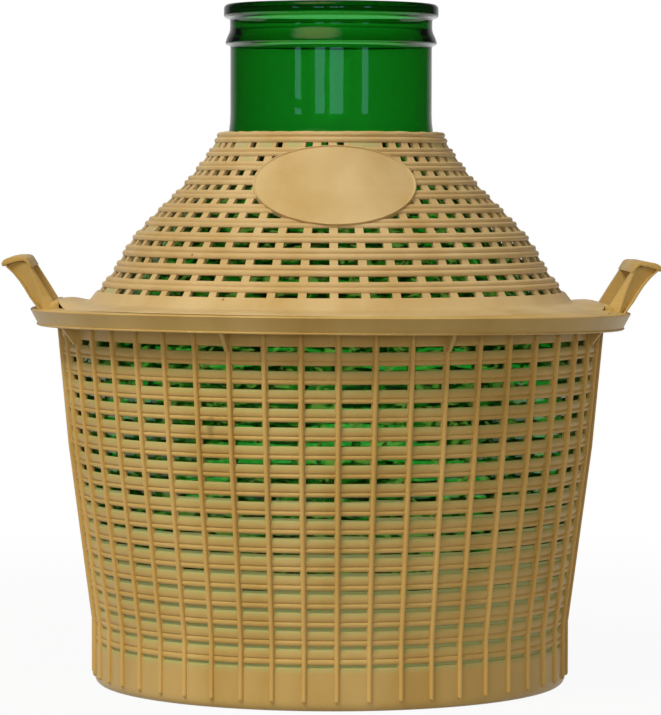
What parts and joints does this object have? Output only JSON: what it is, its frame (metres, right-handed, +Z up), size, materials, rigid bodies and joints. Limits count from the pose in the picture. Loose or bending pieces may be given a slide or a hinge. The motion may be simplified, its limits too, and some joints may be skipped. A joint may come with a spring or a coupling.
{
  "type": "demijohn",
  "caption": "Wide-mouth green glass demijohn in a ribbed, slotted plastic basket with lifting handles and a bell-shaped slotted cover.",
  "frame": {"origin": "centre of the basket's foot, on the surface that it stands on", "axes": "+Z up along the neck; the two handles lie along X; the oval plate of the cover faces -Y"},
  "size_m": [0.4248, 0.3864, 0.436],
  "materials": {
    "green_glass": "gloss",
    "basket_plastic": "satin"
  },
  "bodies": {
    "root": {"glass_vessel": "green_glass", "lower_basket": "basket_plastic", "upper_cover": "basket_plastic"}
  },
  "joints": []
}
